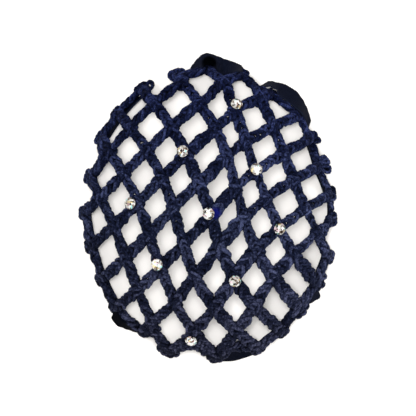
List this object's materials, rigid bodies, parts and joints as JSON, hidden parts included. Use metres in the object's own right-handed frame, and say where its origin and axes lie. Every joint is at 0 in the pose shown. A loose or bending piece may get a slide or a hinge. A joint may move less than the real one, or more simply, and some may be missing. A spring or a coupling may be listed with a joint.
{
  "type": "bun cover",
  "caption": "Crocheted bun cover: an open diamond-mesh dome of yarn, a satin drawstring ribbon threaded in and out round its rim, and round cut stones on its crossings.",
  "frame": {"origin": "on the surface that the rim rests on, under the middle of the whole part", "axes": "+Z from the mouth up to the crown, +Y along the longer way of the oval, towards the ribbon's top loop, +X to the right as seen from above"},
  "size_m": [0.1004, 0.1246, 0.0355],
  "materials": {
    "yarn": "navy acrylic yarn, crocheted in chains",
    "satin": "dark navy satin, soft sheen",
    "crystal": "clear cut stone with a silvered back"
  },
  "bodies": {
    "root": {"net": "yarn", "ribbon": "satin", "stone_1": "crystal", "stone_2": "crystal", "stone_3": "crystal", "stone_4": "crystal", "stone_5": "crystal", "stone_6": "crystal", "stone_7": "crystal", "stone_8": "crystal", "stone_9": "crystal"}
  },
  "joints": []
}
